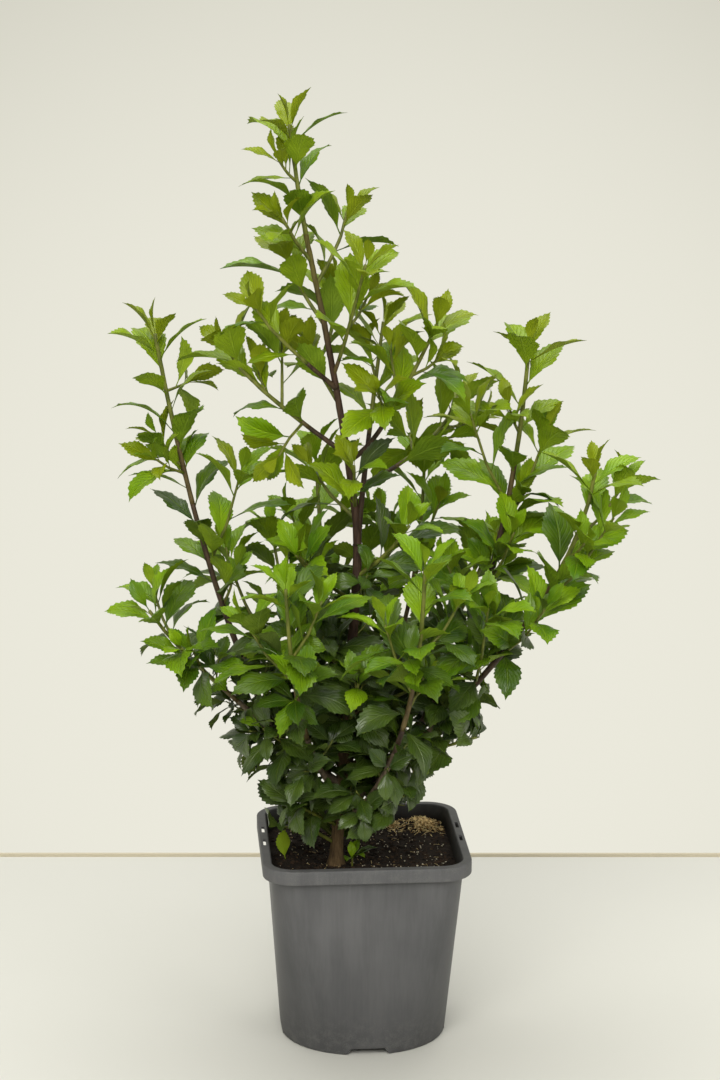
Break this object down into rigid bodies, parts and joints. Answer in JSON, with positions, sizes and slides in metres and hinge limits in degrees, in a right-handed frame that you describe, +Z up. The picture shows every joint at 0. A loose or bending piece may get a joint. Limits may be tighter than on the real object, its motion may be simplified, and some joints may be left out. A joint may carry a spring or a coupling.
{
  "type": "potted blue holly",
  "caption": "Young evergreen holly shrub with upright boughs and small toothed leaves, rooted in a square-topped nursery pot of compost.",
  "frame": {"origin": "centre of the pot's flat underside", "axes": "+Z up along the pot's axis, -Y towards the pot's front face, +X to the right of it"},
  "size_m": [0.4638, 0.3439, 0.8145],
  "materials": {
    "pot": "satin",
    "compost": "matte",
    "trunk": "matte",
    "boughs": "matte",
    "foliage": "satin",
    "low_foliage": "satin"
  },
  "bodies": {
    "root": {"bough_back_far": "boughs", "bough_back_left": "boughs", "bough_back_right": "boughs", "bough_back_side": "boughs", "bough_front_left": "boughs", "bough_front_right": "boughs", "bough_left_low": "boughs", "bough_left_mid": "boughs", "bough_left_tall": "boughs", "bough_left_upper": "boughs", "bough_right_low": "boughs", "bough_right_mid": "boughs", "bough_right_tall": "boughs", "bough_right_upper": "boughs", "bough_second_leader": "boughs", "compost": "compost", "foliage_back_far": "foliage", "foliage_back_left": "foliage", "foliage_back_mid": "foliage", "foliage_back_outer": "foliage", "foliage_back_right": "foliage", "foliage_back_side": "foliage", "foliage_front_left": "foliage", "foliage_front_right": "foliage", "foliage_inner_left": "foliage", "foliage_left_low": "foliage", "foliage_left_mid": "foliage", "foliage_left_tall": "foliage", "foliage_left_upper": "foliage", "foliage_low_1": "low_foliage", "foliage_low_10": "low_foliage", "foliage_low_11": "low_foliage", "foliage_low_12": "low_foliage", "foliage_low_13": "low_foliage", "foliage_low_14": "low_foliage", "foliage_low_2": "low_foliage", "foliage_low_3": "low_foliage", "foliage_low_4": "low_foliage", "foliage_low_5": "low_foliage", "foliage_low_6": "low_foliage", "foliage_low_7": "low_foliage", "foliage_low_8": "low_foliage", "foliage_low_9": "low_foliage", "foliage_mid_back": "foliage", "foliage_mid_front": "foliage", "foliage_mid_left": "foliage", "foliage_mid_right": "foliage", "foliage_right_low": "foliage", "foliage_right_mid": "foliage", "foliage_right_tall": "foliage", "foliage_right_upper": "foliage", "foliage_second_leader": "foliage", "foliage_top": "foliage", "foliage_top_left": "foliage", "foliage_top_right": "foliage", "foliage_upper_back": "foliage", "foliage_upper_front": "foliage", "foliage_upper_left": "foliage", "pot": "pot", "trunk": "trunk"}
  },
  "joints": []
}
